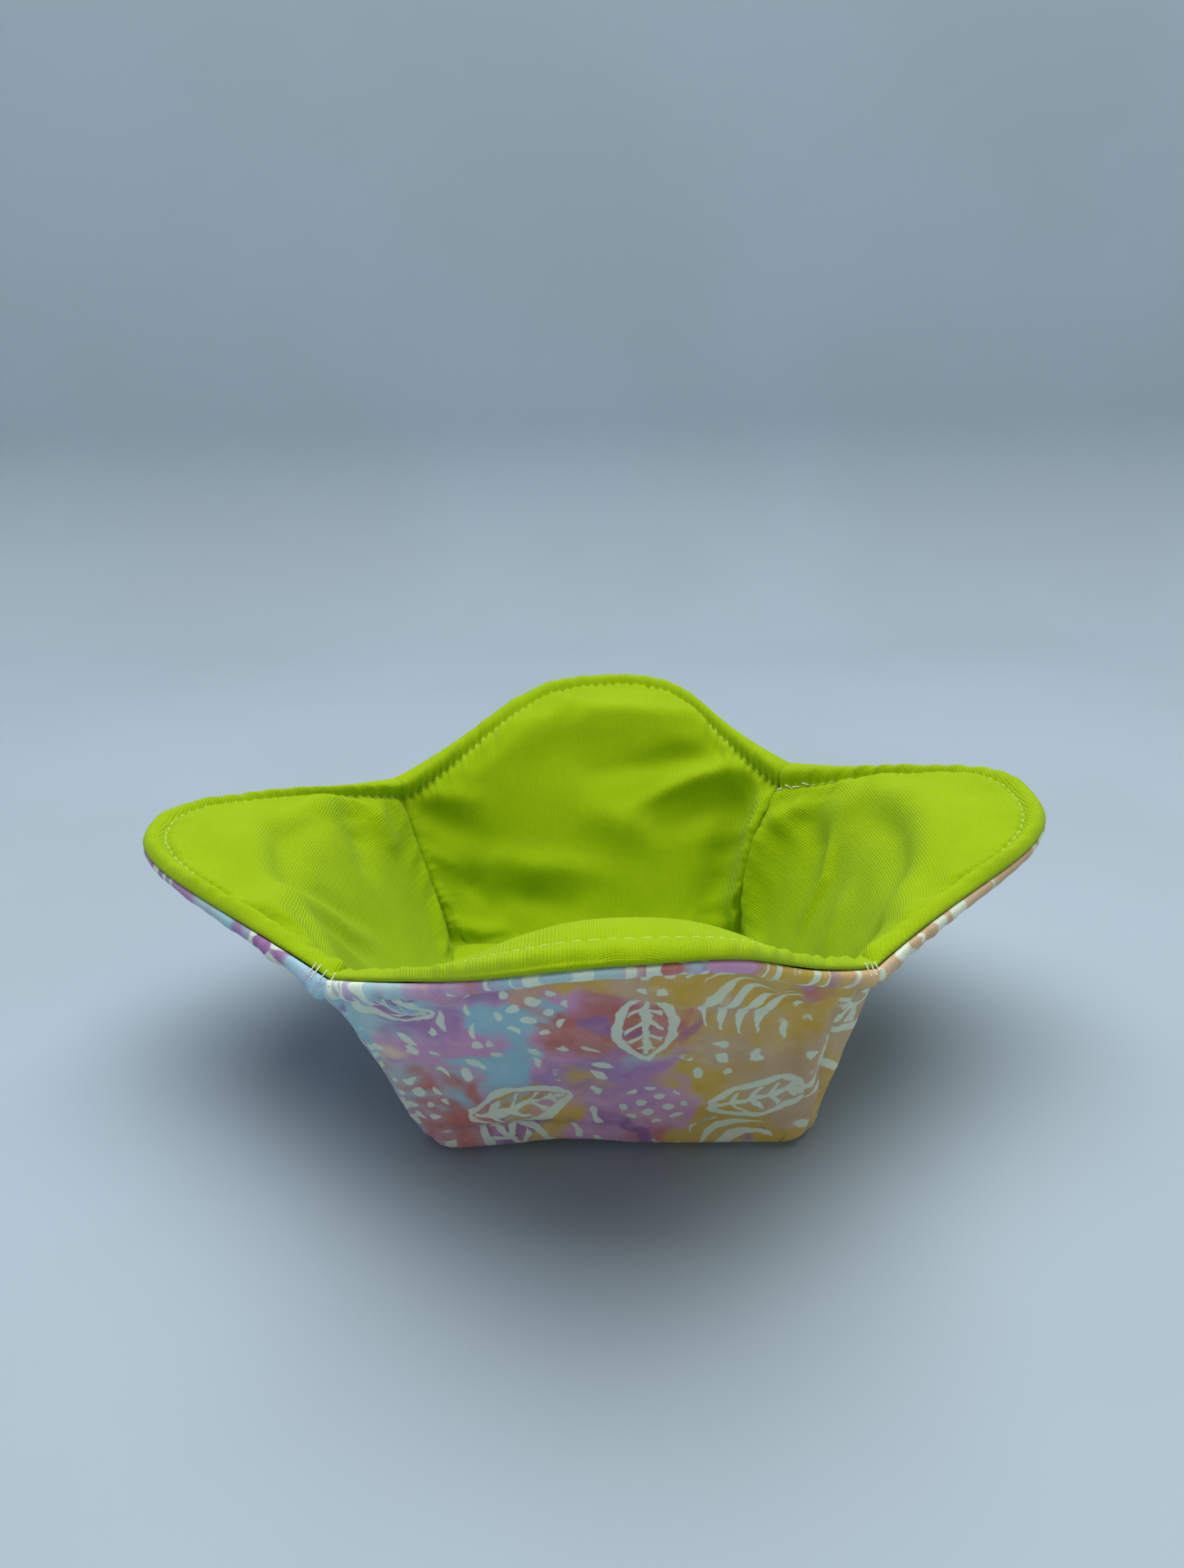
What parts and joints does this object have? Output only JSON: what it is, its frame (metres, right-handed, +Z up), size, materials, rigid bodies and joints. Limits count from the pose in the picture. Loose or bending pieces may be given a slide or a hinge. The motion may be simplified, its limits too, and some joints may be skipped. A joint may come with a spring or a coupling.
{
  "type": "microwave bowl cozy",
  "caption": "Padded cotton cozy sewn into a square-based bowl with pointed petals, to hold a hot bowl out of the microwave.",
  "frame": {"origin": "on the table, under the middle of the square base", "axes": "+Z up; +X towards the right petal in the picture, -Y towards the front petal"},
  "size_m": [0.2537, 0.2363, 0.0914],
  "materials": {
    "lime_cotton": "matt twill",
    "printed_cotton": "matt, batik print",
    "white_batting": "matt"
  },
  "bodies": {
    "root": {"lining_fabric": "lime_cotton", "lining_batting": "white_batting", "outer_batting": "white_batting", "outer_fabric": "printed_cotton"}
  },
  "joints": []
}
